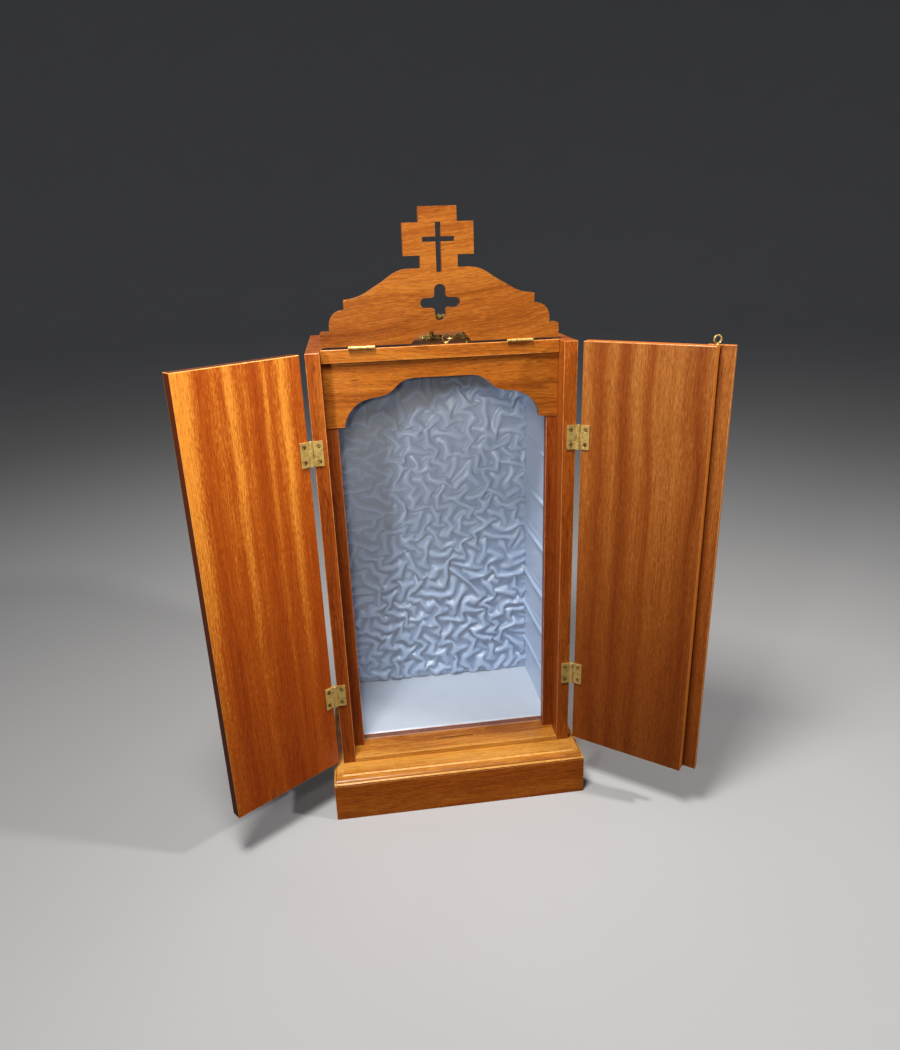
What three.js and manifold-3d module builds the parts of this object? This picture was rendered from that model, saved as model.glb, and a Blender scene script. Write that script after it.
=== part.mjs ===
// Household altar cabinet: a travelling chapel of lacquered mahogany with two doors, a folding crest,
// a glazed niche lined with satin, and a coin box in the plinth.
// Millimetres, +Z up. The origin is the centre of the plinth's underside and the front faces -Y.
import * as THREE from "three";
import { mergeVertices } from "three/addons/utils/BufferGeometryUtils.js";
import Module from "manifold-3d";

// ---------------------------------------------------------------- driving dimensions
const GAP = 0.3; // between pieces that touch

// Carcass
const CARCASS_WIDTH = 270;
const PANEL = 14; // side panels
const TOP_BOARD = 13.2;
const BACK_PANEL = 4;
const TOP_Z = 527.5; // top of the side panels and of the top board

// Plinth
const PLINTH_DEPTH = 190;
const PLINTH_HALF_WIDTH = CARCASS_WIDTH / 2 + 11.5;
const PLINTH_BOARD = 12;
const PLINTH_BOTTOM = 4;
const CAP_Z = 46; // underside of the moulded cap board
const PLINTH_TOP_Z = 53.5;
const MOULDING = 10; // how far the cap's moulding steps in from the plinth's face
const MOULDING_STEPS = 6;

// Depths, measured back from the front edges of the side panels
const BODY_FRONT_Y = -PLINTH_DEPTH / 2 + 31.5;
const RAIL_DEPTH = 18.5; // the top board's front edge, and the crest's front face
const HEADER_DEPTH = 22.5;
const STILE_DEPTH = 23.5;
const GLASS_DEPTH = 33;
const GLASS = 3;

// Niche
const SILL_HEIGHT = 5.5;
const STILE_WIDTH = 11.2;
const HEADER_BOTTOM_Z = 448.3;
const FLOOR_TOP_Z = 64.5;
const FLOOR_SATIN = 1.2;
const WALL_PAD = 4.2; // smooth satin on the side walls
const BACK_PAD = 9; // gathered satin on the back
const SLOT_LENGTH = 46;
const SLOT_WIDTH = 2.6;
const SLOT_DEPTH = 21;

// Doors, drawn closed about their hinge axes and then swung open
const AXIS_OUT = 2.3; // hinge axis, out from the side panel's outer face
const AXIS_FRONT = 1.7; // hinge axis, in front of the side panel's front edge
const DOOR_WIDTH = 130;
const DOOR_THICK = 12;
const DOOR_BOTTOM_Z = 57.5;
const DOOR_TOP_Z = 527;
const STRIP_WIDTH = 26; // meeting strip on the right door
const STRIP_LAP = 14;
const STRIP_THICK = 5;
const LEFT_OPEN_DEG = 144;
const RIGHT_OPEN_DEG = 140;

// Butt hinges
const HINGE_Z = [146.5, 429];
const HINGE_HALF = 13;
const LEAF_REACH = 12;
const LEAF_THICK = 1.1;
const LEAF_SETBACK = 2.6; // a leaf stops here beside the other leaf's knuckle
const KNUCKLE_RADIUS = 2.1;
const KNUCKLE_HALF = 4.2; // half the middle knuckle
const PIN_RADIUS = 0.85;
const BORE_RADIUS = 1.2;
const SCREW_Z = 8;
const SCREW_REACH = 7.6;
const SCREW_SHANK_RADIUS = 1.1;
const SCREW_HOLE_RADIUS = 1.4;
const SCREW_HEAD_RADIUS = 2.2;
const SCREW_SEAT_RADIUS = 2.5; // the sunk seat of the head in the leaf
const SCREW_SEAT_DEPTH = 0.6;
const SCREW_PROUD = 0.15;
const SCREW_SIDES = 10;
const PIN_END = 0.4; // how far a pin stands out of its knuckles

// Crest
const CREST_THICK = 12;
const CREST_GAP = 2.4; // room for the folded hinge leaves
const CREST_HALF_WIDTH = 119.7;
const CREST_HINGE_X = 79.8;
const CREST_KNUCKLE_RADIUS = 1.7;
const CREST_PIN_RADIUS = 0.7;
const CREST_BORE_RADIUS = 1;
const CREST_LEAF_DEPTH = 11;

// Carrying handle
const HANDLE_X = 14;
const HANDLE_DEPTH = 72;
const HANDLE_HALF_SPAN = 18;
const GRIP_HEIGHT = 22;
const GRIP_RADIUS = 3.2;

// Hook and eyes
const WIRE = 0.8;
const EYE_RADIUS = 3.7;
const HOOK_EYE_RADIUS = 2.7;
const HOOK_X = 9.2;
const HOOK_DEPTH = 26;
const HOOK_LENGTH = 35;
const HOOK_LEG = 4.6;
const HOOK_REST_DEG = 40;
const EYE_HEIGHT = 5.1;
const DOOR_EYE_REACH = 128.5; // from the right door's outer edge
const DOOR_EYE_TURN_DEG = 45;
const EYE_SHANK_RADIUS = 1.2;
const EYE_COLLAR_RADIUS = 1.9;

// ---------------------------------------------------------------- derived sizes
const HALF = CARCASS_WIDTH / 2;
const INNER = HALF - PANEL - GAP; // pieces that fit between the side panels
const BODY_BACK_Y = PLINTH_DEPTH / 2;
const BACK_PANEL_Y = BODY_BACK_Y - BACK_PANEL;
const SILL_TOP_Z = PLINTH_TOP_Z + GAP + SILL_HEIGHT;
const TOP_BOARD_Z = TOP_Z - TOP_BOARD;
const NICHE_FRONT_Y = BODY_FRONT_Y + GLASS_DEPTH + GLASS + GAP;
const SILL_BACK_Y = NICHE_FRONT_Y + 0.2;
const FLOOR_FRONT_Y = SILL_BACK_Y + GAP;
const NICHE_FLOOR_Z = FLOOR_TOP_Z + GAP + FLOOR_SATIN;
const DOOR_CENTRE_DEPTH = 2 * AXIS_FRONT + DOOR_THICK / 2; // in front of the panels, closed
const HINGE_AXIS_X = HALF + AXIS_OUT;
const HINGE_AXIS_Y = BODY_FRONT_Y - AXIS_FRONT;
const CREST_Y = BODY_FRONT_Y + RAIL_DEPTH;
const CREST_Z = TOP_Z + CREST_GAP;
const CREST_AXIS_Y = CREST_Y - CREST_KNUCKLE_RADIUS - GAP;
const CREST_AXIS_Z = TOP_Z + CREST_GAP / 2;
const HOOK_Z = TOP_Z + EYE_HEIGHT;

// ---------------------------------------------------------------- materials
const finish = (color, roughness, metalness = 0) =>
  new THREE.MeshStandardMaterial({ color, roughness, metalness });
const mahogany = finish(0xa3541c, 0.35);
const ribbonMahogany = finish(0x8f451b, 0.35);
const darkMahogany = finish(0x6a2a12, 0.4);
const brass = finish(0xc9a553, 0.28, 1);
const satin = finish(0xa9c0e6, 0.5);
const clearGlass = new THREE.MeshStandardMaterial({
  color: 0xf4fbff,
  roughness: 0.05,
  transparent: true,
  opacity: 0.15,
});

const wasm = await Module();
wasm.setup();

// ---------------------------------------------------------------- small tools
// A closed mesh as a solid that can be joined and cut.
function solid(geometry) {
  const bare = geometry.clone();
  bare.deleteAttribute("normal");
  bare.deleteAttribute("uv");
  const merged = mergeVertices(bare, 1e-4);
  return new wasm.Manifold(
    new wasm.Mesh({
      numProp: 3,
      vertProperties: merged.attributes.position.array,
      triVerts: new Uint32Array(merged.index.array),
    }),
  );
}

function geometryOf(manifold) {
  const { numProp, vertProperties, triVerts } = manifold.getMesh();
  const positions = new Float32Array((vertProperties.length / numProp) * 3);
  for (let i = 0; i < positions.length; i += 1)
    positions[i] = vertProperties[Math.floor(i / 3) * numProp + (i % 3)];
  return new THREE.BufferGeometry()
    .setAttribute("position", new THREE.BufferAttribute(positions, 3))
    .setIndex(new THREE.BufferAttribute(new Uint32Array(triVerts), 1));
}

const join = (first, ...rest) =>
  geometryOf(rest.reduce((sum, g) => sum.add(solid(g)), solid(first)));

const cut = (body, ...tools) =>
  geometryOf(tools.reduce((left, g) => left.subtract(solid(g)), solid(body)));

function block([x0, x1], [y0, y1], [z0, z1]) {
  return new THREE.BoxGeometry(
    Math.abs(x1 - x0),
    Math.abs(y1 - y0),
    Math.abs(z1 - z0),
  ).translate((x0 + x1) / 2, (y0 + y1) / 2, (z0 + z1) / 2);
}

// A board cut to an outline in the X-Z plane, from one depth to another.
function profileBoard(shape, y0, y1) {
  return new THREE.ExtrudeGeometry(shape, {
    depth: y1 - y0,
    bevelEnabled: false,
  })
    .rotateX(Math.PI / 2)
    .translate(0, y1, 0);
}

// A board cut to an outline in the X-Y plane, from one height to another.
const planBoard = (points, z0, z1) =>
  new THREE.ExtrudeGeometry(new THREE.Shape(points), {
    depth: z1 - z0,
    bevelEnabled: false,
  }).translate(0, 0, z0);

// A vertical cylinder about (x, y).
const post = (radius, [x, y], [z0, z1], sides = 12) =>
  new THREE.CylinderGeometry(radius, radius, z1 - z0, sides)
    .rotateX(Math.PI / 2)
    .translate(x, y, (z0 + z1) / 2);

// A ring of wire lying flat about the origin.
const ring = (radius, wire = WIRE) =>
  new THREE.TorusGeometry(radius, wire, 6, 20);

// A turned piece, from [radius, height] pairs, standing on the origin.
const turned = (profile, sides = 12) =>
  new THREE.LatheGeometry(
    profile.map(([r, h]) => new THREE.Vector2(r, h)),
    sides,
  ).rotateX(Math.PI / 2);

// The points of a half outline that starts and ends on the Z axis, with its mirror image.
function mirroredOutline(half, divisions) {
  const right = half.getPoints(divisions);
  const left = right
    .slice(1, -1)
    .reverse()
    .map((p) => new THREE.Vector2(-p.x, p.y));
  return [...right, ...left];
}

const cabinet = new THREE.Group();

function add(name, geometry, material, parent = cabinet) {
  const mesh = new THREE.Mesh(geometry, material);
  mesh.name = name;
  parent.add(mesh);
  return mesh;
}

// ---------------------------------------------------------------- plinth
// The coin slot runs down through the sill and the cap board.
function coinSlot(z0, z1) {
  const half = SLOT_LENGTH / 2 - SLOT_WIDTH / 2;
  const outline = new THREE.Shape();
  outline.absarc(half, 0, SLOT_WIDTH / 2, -Math.PI / 2, Math.PI / 2);
  outline.absarc(-half, 0, SLOT_WIDTH / 2, Math.PI / 2, (Math.PI * 3) / 2);
  return new THREE.ExtrudeGeometry(outline, {
    depth: z1 - z0,
    bevelEnabled: false,
    curveSegments: 4,
  }).translate(0, BODY_FRONT_Y + SLOT_DEPTH, z0);
}

// The cap's edge, from the plinth's face inward: a fillet, an ovolo and a quirk below the top.
function capProfile() {
  const [face, ledge, quirk, slope] = [2, 1.5, 1.2, 0.3];
  const [roundInset, roundZ] = [ledge, CAP_Z + face + slope];
  const reach = MOULDING - ledge - quirk;
  const rise = PLINTH_TOP_Z - quirk - roundZ;
  const levels = [
    [0, CAP_Z],
    [0, CAP_Z + face],
  ];
  for (let step = 0; step <= MOULDING_STEPS; step += 1) {
    const angle = (step / MOULDING_STEPS) * (Math.PI / 2);
    levels.push([
      roundInset + reach * (1 - Math.cos(angle)),
      roundZ + rise * Math.sin(angle),
    ]);
  }
  levels.push([MOULDING, PLINTH_TOP_Z - quirk + slope], [MOULDING, PLINTH_TOP_Z]);
  return levels;
}

// A rectangle at each level of the profile, stepped in on the front and the sides only.
function mouldedCap() {
  const positions = capProfile().flatMap(([inset, z]) => {
    const x = PLINTH_HALF_WIDTH - inset;
    const front = -PLINTH_DEPTH / 2 + inset;
    return [-x, front, z, x, front, z, x, BODY_BACK_Y, z, -x, BODY_BACK_Y, z];
  });
  const levels = positions.length / 12;
  const index = [0, 2, 1, 0, 3, 2];
  for (let level = 0; level < levels - 1; level += 1)
    for (let side = 0; side < 4; side += 1) {
      const a = level * 4 + side;
      const b = level * 4 + ((side + 1) % 4);
      index.push(a, b, b + 4, a, b + 4, a + 4);
    }
  const top = (levels - 1) * 4;
  index.push(top, top + 1, top + 2, top, top + 2, top + 3);
  return new THREE.BufferGeometry()
    .setAttribute("position", new THREE.Float32BufferAttribute(positions, 3))
    .setIndex(index);
}

function plinth() {
  const out = PLINTH_HALF_WIDTH;
  const inn = out - PLINTH_BOARD;
  const front = -PLINTH_DEPTH / 2;
  const mitre = GAP * Math.SQRT2;
  const height = [0, CAP_Z - GAP];
  const corner = (x, y) => new THREE.Vector2(x, y);
  add(
    "plinth_front",
    planBoard(
      [
        corner(-out, front),
        corner(out, front),
        corner(inn, front + PLINTH_BOARD),
        corner(-inn, front + PLINTH_BOARD),
      ],
      ...height,
    ),
    mahogany,
  );
  for (const [name, s] of [
    ["plinth_left", -1],
    ["plinth_right", 1],
  ]) {
    const points = [
      corner(s * out, front + mitre),
      corner(s * out, BODY_BACK_Y),
      corner(s * inn, BODY_BACK_Y),
      corner(s * inn, front + PLINTH_BOARD + mitre),
    ];
    add(name, planBoard(points, ...height), mahogany);
  }
  const inside = [-inn + GAP, inn - GAP];
  add(
    "plinth_back",
    block(inside, [BODY_BACK_Y - PLINTH_BOARD, BODY_BACK_Y], height),
    mahogany,
  );
  add(
    "plinth_bottom",
    block(
      inside,
      [front + PLINTH_BOARD + GAP, BODY_BACK_Y - PLINTH_BOARD - GAP],
      [0, PLINTH_BOTTOM],
    ),
    darkMahogany,
  );
  add(
    "plinth_cap",
    cut(mouldedCap(), coinSlot(CAP_Z - 5, PLINTH_TOP_Z + 5)),
    mahogany,
  );
}

// ---------------------------------------------------------------- carcass
function carcass() {
  const base = PLINTH_TOP_Z + GAP;
  for (const [name, s] of [
    ["side_left", -1],
    ["side_right", 1],
  ])
    add(
      name,
      block([s * (HALF - PANEL), s * HALF], [BODY_FRONT_Y, BODY_BACK_Y], [base, TOP_Z]),
      mahogany,
    );
  add(
    "top_board",
    block([-INNER, INNER], [CREST_Y, BACK_PANEL_Y - GAP], [TOP_BOARD_Z, TOP_Z]),
    mahogany,
  );
  add(
    "back_panel",
    block([-INNER, INNER], [BACK_PANEL_Y, BODY_BACK_Y], [base, TOP_Z]),
    darkMahogany,
  );
  add(
    "floor_board",
    block([-INNER, INNER], [FLOOR_FRONT_Y, BACK_PANEL_Y - GAP], [base, FLOOR_TOP_Z]),
    darkMahogany,
  );
  add(
    "sill",
    cut(
      block([-INNER, INNER], [BODY_FRONT_Y, SILL_BACK_Y], [base, SILL_TOP_Z]),
      coinSlot(base - 5, SILL_TOP_Z + 5),
    ),
    mahogany,
  );
  for (const [name, s] of [
    ["stile_left", -1],
    ["stile_right", 1],
  ])
    add(
      name,
      block(
        [s * (INNER - STILE_WIDTH), s * INNER],
        [BODY_FRONT_Y + STILE_DEPTH, BODY_FRONT_Y + GLASS_DEPTH - GAP],
        [SILL_TOP_Z + GAP, HEADER_BOTTOM_Z - GAP],
      ),
      darkMahogany,
    );
}

// Half of the header board: a scalloped lower edge that drops to an ear over each stile.
function headerOutline() {
  const ear = 102;
  const crown = TOP_Z - 32;
  const shoulder = TOP_Z - 50.5;
  const half = new THREE.Path();
  half.moveTo(0, crown);
  half.lineTo(27, crown);
  half.bezierCurveTo(38, crown, 43, crown - 3, 49, crown - 9);
  half.bezierCurveTo(55, shoulder + 3, 60, shoulder + 1.5, 74, shoulder);
  half.bezierCurveTo(90, shoulder - 2, 99, shoulder - 15, ear - 0.5, HEADER_BOTTOM_Z + 5);
  half.lineTo(ear, HEADER_BOTTOM_Z);
  half.lineTo(INNER, HEADER_BOTTOM_Z);
  half.lineTo(INNER, TOP_BOARD_Z - GAP);
  half.lineTo(0, TOP_BOARD_Z - GAP);
  return new THREE.Shape(mirroredOutline(half, 7));
}

function header() {
  add(
    "header",
    profileBoard(
      headerOutline(),
      BODY_FRONT_Y + HEADER_DEPTH,
      BODY_FRONT_Y + GLASS_DEPTH - GAP,
    ),
    mahogany,
  );
}

// ---------------------------------------------------------------- glass and satin
function niche() {
  const glassFront = BODY_FRONT_Y + GLASS_DEPTH;
  const ceiling = TOP_BOARD_Z - GAP;
  const back = BACK_PANEL_Y - GAP;
  add(
    "glass_pane",
    block(
      [-INNER, INNER],
      [glassFront, glassFront + GLASS],
      [SILL_TOP_Z + GAP, ceiling],
    ),
    clearGlass,
  );
  add(
    "lining_floor",
    block(
      [-INNER, INNER],
      [FLOOR_FRONT_Y, back],
      [FLOOR_TOP_Z + GAP, NICHE_FLOOR_Z],
    ),
    satin,
  );
  const walls = [NICHE_FLOOR_Z + GAP, ceiling];
  add("lining_back", block([-INNER, INNER], [back - BACK_PAD, back], walls), satin);
  for (const [name, s] of [
    ["lining_left", -1],
    ["lining_right", 1],
  ])
    add(
      name,
      block(
        [s * (INNER - WALL_PAD), s * INNER],
        [NICHE_FRONT_Y, back - BACK_PAD - GAP],
        walls,
      ),
      satin,
    );
}

// ---------------------------------------------------------------- hinges
// A sunk wood screw, its shank ending in the leaf, pointing along -Y with the leaf's face at y = 0.
function screw() {
  const stub = LEAF_THICK + GAP / 2;
  const seat = SCREW_SEAT_DEPTH - GAP / 2;
  const body = turned(
    [
      [0, -stub],
      [SCREW_SHANK_RADIUS, -stub],
      [SCREW_SHANK_RADIUS, -seat],
      [SCREW_HEAD_RADIUS, -seat],
      [SCREW_HEAD_RADIUS, 0],
      [SCREW_HEAD_RADIUS * 0.6, SCREW_PROUD],
      [0, SCREW_PROUD],
    ],
    SCREW_SIDES,
  );
  const slot = block([-3, 3], [-0.35, 0.35], [SCREW_PROUD - 0.4, 2]);
  return cut(body, slot).rotateX(Math.PI / 2);
}

// A screw's hole through a leaf, and the seat sunk in its face.
const screwHole = (x, face, z) => {
  const along = (radius, length) =>
    new THREE.CylinderGeometry(radius, radius, length, SCREW_SIDES).translate(x, face, z);
  return join(
    along(SCREW_HOLE_RADIUS, 4 * LEAF_THICK),
    along(SCREW_SEAT_RADIUS, 2 * SCREW_SEAT_DEPTH),
  );
};

// The heights of the knuckles of one leaf: the two end knuckles, or the middle one.
const knuckleSpans = (carriesPin) =>
  carriesPin
    ? [
        [-HINGE_HALF, -KNUCKLE_HALF - GAP],
        [KNUCKLE_HALF + GAP, HINGE_HALF],
      ]
    : [[-KNUCKLE_HALF, KNUCKLE_HALF]];

// The pin, or the hole that turns on it.
const pinOrBore = (radius, reach) => post(radius, [0, 0], [-reach, reach], 10);

// The leaf of a butt hinge about a vertical pin at the origin. It reaches toward `reach` in X, and its
// plate runs from its face to its back at the depths `plate`. The outer leaf carries the pin, and the
// middle leaf turns on it.
function hingeLeaf(reach, plate, carriesPin) {
  const edge = Math.sign(reach) * LEAF_SETBACK;
  const pieces = [block([reach, edge], plate, [-HINGE_HALF, HINGE_HALF])];
  for (const span of knuckleSpans(carriesPin))
    pieces.push(
      block([edge * 1.2, 0], plate, span),
      post(KNUCKLE_RADIUS, [0, 0], span),
    );
  const holes = [-1, 1].map((s) =>
    screwHole(Math.sign(reach) * SCREW_REACH, plate[0], s * SCREW_Z),
  );
  if (carriesPin) pieces.push(pinOrBore(PIN_RADIUS, HINGE_HALF + PIN_END));
  else holes.push(pinOrBore(BORE_RADIUS, HINGE_HALF));
  return cut(join(...pieces), ...holes);
}

// A door hinge at one height. `fixed` and `swinging` are groups whose origin is the hinge axis.
function doorHinge(name, s, z, fixed, swinging) {
  const framePlate = [AXIS_FRONT - GAP - LEAF_THICK, AXIS_FRONT - GAP];
  const doorPlate = framePlate.map((y) => -y);
  const reach = -s * LEAF_REACH;
  add(`${name}_frame_leaf`, hingeLeaf(reach, framePlate, true), brass, fixed).position.z = z;
  add(`${name}_door_leaf`, hingeLeaf(reach, doorPlate, false), brass, swinging).position.z = z;
  [-1, 1].forEach((side, i) => {
    const frameScrew = add(`${name}_frame_screw_${i + 1}`, screw(), brass, fixed);
    frameScrew.position.set(-s * SCREW_REACH, framePlate[0], z + side * SCREW_Z);
    const doorScrew = add(`${name}_door_screw_${i + 1}`, screw(), brass, swinging);
    doorScrew.position.set(-s * SCREW_REACH, doorPlate[0], z + side * SCREW_Z);
    doorScrew.rotation.z = Math.PI;
  });
}

// ---------------------------------------------------------------- doors
// A screw eye whose shank points down from the origin, its ring facing along Y.
function screwEye(height) {
  return join(
    ring(EYE_RADIUS).rotateX(Math.PI / 2).translate(0, 0, height),
    post(EYE_SHANK_RADIUS, [0, 0], [GAP, height - EYE_RADIUS + WIRE / 2]),
    post(EYE_COLLAR_RADIUS, [0, 0], [GAP, 1]),
  );
}

function door(name, s, openDegrees) {
  const fixed = new THREE.Group();
  fixed.position.set(s * HINGE_AXIS_X, HINGE_AXIS_Y, 0);
  const swinging = fixed.clone();
  swinging.rotation.z = THREE.MathUtils.degToRad(s * openDegrees);
  cabinet.add(fixed, swinging);
  const inward = (distance) => -s * (AXIS_OUT + distance);
  const inner = -AXIS_FRONT;
  const height = [DOOR_BOTTOM_Z, DOOR_TOP_Z];
  add(
    name,
    block([inward(0), inward(DOOR_WIDTH)], [inner - DOOR_THICK, inner], height),
    ribbonMahogany,
    swinging,
  );
  HINGE_Z.forEach((z, i) =>
    doorHinge(`${name}_hinge_${i + 1}`, s, z, fixed, swinging),
  );
  return { swinging, inward, outer: inner - DOOR_THICK, height };
}

function doors() {
  door("door_left", -1, LEFT_OPEN_DEG);
  const { swinging, inward, outer, height } = door("door_right", 1, RIGHT_OPEN_DEG);
  const lap = DOOR_WIDTH + STRIP_LAP;
  add(
    "meeting_strip",
    block(
      [inward(lap - STRIP_WIDTH), inward(lap)],
      [outer - GAP - STRIP_THICK, outer - GAP],
      height,
    ),
    ribbonMahogany,
    swinging,
  );
  const eye = add("door_eye", screwEye(HOOK_Z - DOOR_TOP_Z), brass, swinging);
  eye.position.set(inward(DOOR_EYE_REACH), AXIS_FRONT - DOOR_CENTRE_DEPTH, DOOR_TOP_Z);
  eye.rotation.z = THREE.MathUtils.degToRad(DOOR_EYE_TURN_DEG);
}

// ---------------------------------------------------------------- crest
// Half of the crest: base with a notch, a rounded and an ogee shoulder, and a square-armed cross.
function crestOutline() {
  const z = (height) => CREST_Z + height;
  const half = new THREE.Path();
  half.moveTo(0, z(126));
  half.lineTo(-18.3, z(126));
  half.lineTo(-18.3, z(112));
  half.lineTo(-34.3, z(112));
  half.lineTo(-34.3, z(82.4));
  half.lineTo(-18.3, z(82.4));
  half.lineTo(-18.3, z(70.6));
  half.lineTo(-30, z(70.6));
  half.bezierCurveTo(-44, z(70.4), -50, z(62), -60, z(57));
  half.bezierCurveTo(-70, z(52), -76, z(45), -94.5, z(43.8));
  half.lineTo(-94.5, z(34.4));
  half.lineTo(-96, z(34.4));
  half.absarc(-96, z(20.4), 14, Math.PI / 2, Math.PI);
  half.lineTo(-110, z(14.6));
  half.lineTo(1.4 - CREST_HALF_WIDTH, z(14.6));
  half.lineTo(-CREST_HALF_WIDTH, z(13.2));
  half.lineTo(-CREST_HALF_WIDTH, z(0));
  half.lineTo(-30.5, z(0));
  half.lineTo(-22.5, z(9.4));
  half.lineTo(-19, z(11));
  half.lineTo(0, z(11));
  return mirroredOutline(half, 7);
}

// A Latin cross cut right through the cross of the crest.
function latinCross() {
  const [halfPost, halfArm] = [2.7, 15.5];
  const [bottom, armLow, armHigh, top] = [66.6, 94.4, 99, 112].map((h) => CREST_Z + h);
  const half = new THREE.Path();
  half.moveTo(0, bottom);
  half.lineTo(halfPost, bottom);
  half.lineTo(halfPost, armLow);
  half.lineTo(halfArm, armLow);
  half.lineTo(halfArm, armHigh);
  half.lineTo(halfPost, armHigh);
  half.lineTo(halfPost, top);
  half.lineTo(0, top);
  return new THREE.Path(mirroredOutline(half, 1));
}

// A quatrefoil of four round lobes with filleted inner corners, built from one quarter.
function quatrefoil() {
  const centre = CREST_Z + 38.2;
  const [tall, wide] = [
    { reach: 17.7, radius: 5.7 },
    { reach: 19.8, radius: 4.9 },
  ];
  const fillet = 3;
  const quarter = new THREE.Path();
  quarter.absarc(wide.reach - wide.radius, 0, wide.radius, 0, Math.PI / 2);
  quarter.absarc(
    tall.radius + fillet,
    wide.radius + fillet,
    fillet,
    -Math.PI / 2,
    -Math.PI,
    true,
  );
  quarter.absarc(0, tall.reach - tall.radius, tall.radius, 0, Math.PI / 2);
  const upperRight = quarter.getPoints(5);
  const upper = [
    ...upperRight,
    ...upperRight
      .slice(0, -1)
      .reverse()
      .map((p) => new THREE.Vector2(-p.x, p.y)),
  ];
  const lower = upper
    .slice(1, -1)
    .reverse()
    .map((p) => new THREE.Vector2(p.x, -p.y));
  return new THREE.Path(
    [...upper, ...lower].map((p) => new THREE.Vector2(p.x, p.y + centre)),
  );
}

// A leaf of a hinge that lies in the joint under the crest, on its plate's heights above the pin.
function crestLeaf(x, plate, carriesPin) {
  const pieces = [
    block(plate, [LEAF_SETBACK, CREST_LEAF_DEPTH], [-HINGE_HALF, HINGE_HALF]),
  ];
  for (const span of knuckleSpans(carriesPin))
    pieces.push(
      block(plate, [0, LEAF_SETBACK * 1.2], span),
      post(CREST_KNUCKLE_RADIUS, [0, 0], span),
    );
  if (carriesPin) pieces.push(pinOrBore(CREST_PIN_RADIUS, HINGE_HALF + PIN_END));
  const body = join(...pieces);
  const leaf = carriesPin ? body : cut(body, pinOrBore(CREST_BORE_RADIUS, HINGE_HALF));
  return leaf.rotateY(Math.PI / 2).translate(x, CREST_AXIS_Y, CREST_AXIS_Z);
}

// Upright plates turned on their side: the lower one is screwed to the top board, the upper to the crest.
function crestHinge(name, x) {
  const [near, far] = [GAP / 2, CREST_GAP / 2 - GAP];
  add(`${name}_top_leaf`, crestLeaf(x, [near, far], true), brass);
  add(`${name}_crest_leaf`, crestLeaf(x, [-far, -near], false), brass);
}

function crest() {
  const shape = new THREE.Shape(crestOutline());
  shape.holes.push(latinCross(), quatrefoil());
  add("crest", profileBoard(shape, CREST_Y, CREST_Y + CREST_THICK), mahogany);
  crestHinge("crest_hinge_1", -CREST_HINGE_X);
  crestHinge("crest_hinge_2", CREST_HINGE_X);
}

// ---------------------------------------------------------------- handle and hook
// A cast handle: two turned posts on round feet, and a beaded grip between them.
function handle() {
  const foot = [
    [0, 0],
    [6.4, 0],
    [6.4, 1],
    [5.2, 1.6],
    [4.6, 2.8],
    [2.6, 3.4],
    [2.2, 6],
    [3.4, 8],
    [3.6, 9.6],
    [2.2, 11.6],
    [2, 14.6],
    [3.2, 17],
    [4.4, 19],
    [4.8, GRIP_HEIGHT],
    [4.2, GRIP_HEIGHT + 2.8],
    [0, GRIP_HEIGHT + 4.2],
  ];
  const beads = 7;
  const pitch = (2 * HANDLE_HALF_SPAN) / beads;
  const grip = [[0, 0]];
  for (let bead = 0; bead < beads; bead += 1)
    grip.push(
      [GRIP_RADIUS * 0.62, bead * pitch],
      [GRIP_RADIUS, (bead + 0.3) * pitch],
      [GRIP_RADIUS, (bead + 0.7) * pitch],
    );
  grip.push([GRIP_RADIUS * 0.62, beads * pitch], [0, beads * pitch]);
  const place = (geometry, x, z) =>
    geometry.translate(HANDLE_X + x, BODY_FRONT_Y + HANDLE_DEPTH, TOP_Z + z);
  add(
    "handle",
    join(
      place(turned(grip).rotateY(Math.PI / 2), -HANDLE_HALF_SPAN, GRIP_HEIGHT),
      place(turned(foot), -HANDLE_HALF_SPAN, GAP),
      place(turned(foot), HANDLE_HALF_SPAN, GAP),
    ),
    brass,
  );
}

// A wire hook that turns on an eye in the top board and reaches the eye on the right door.
function hookAndEye() {
  const eye = add("top_eye", screwEye(EYE_HEIGHT), brass);
  eye.position.set(HOOK_X - EYE_RADIUS, BODY_FRONT_Y + HOOK_DEPTH, TOP_Z);
  const start = HOOK_EYE_RADIUS;
  const shank = new THREE.CylinderGeometry(WIRE, WIRE, HOOK_LENGTH - start + WIRE, 10)
    .rotateZ(Math.PI / 2)
    .translate((start + HOOK_LENGTH + WIRE) / 2, 0, 0);
  const collar = new THREE.CylinderGeometry(1.5, 1.5, 4, 10)
    .rotateZ(Math.PI / 2)
    .translate(start + 4, 0, 0);
  const leg = new THREE.CylinderGeometry(WIRE, WIRE, HOOK_LEG, 10)
    .translate(HOOK_LENGTH, -HOOK_LEG / 2 + WIRE / 2, 0);
  const hook = add("hook", join(ring(HOOK_EYE_RADIUS), shank, collar, leg), brass);
  hook.position.set(HOOK_X, BODY_FRONT_Y + HOOK_DEPTH, HOOK_Z);
  hook.rotation.z = THREE.MathUtils.degToRad(HOOK_REST_DEG);
}

plinth();
carcass();
header();
niche();
doors();
crest();
handle();
hookAndEye();

export default cabinet;
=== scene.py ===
"""Household altar cabinet: the looks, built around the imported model.

Lacquered mahogany, aged brass, clear glass and gathered satin. Everything is in metres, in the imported
model's own frame: +Z up, the front faces -Y, and the origin is under the middle of the plinth.
"""

from __future__ import annotations

import logging
import math
from dataclasses import dataclass, field
from enum import Enum
from typing import Any, Sequence

import bpy
import numpy as np
from mathutils import Matrix, Vector

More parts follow.
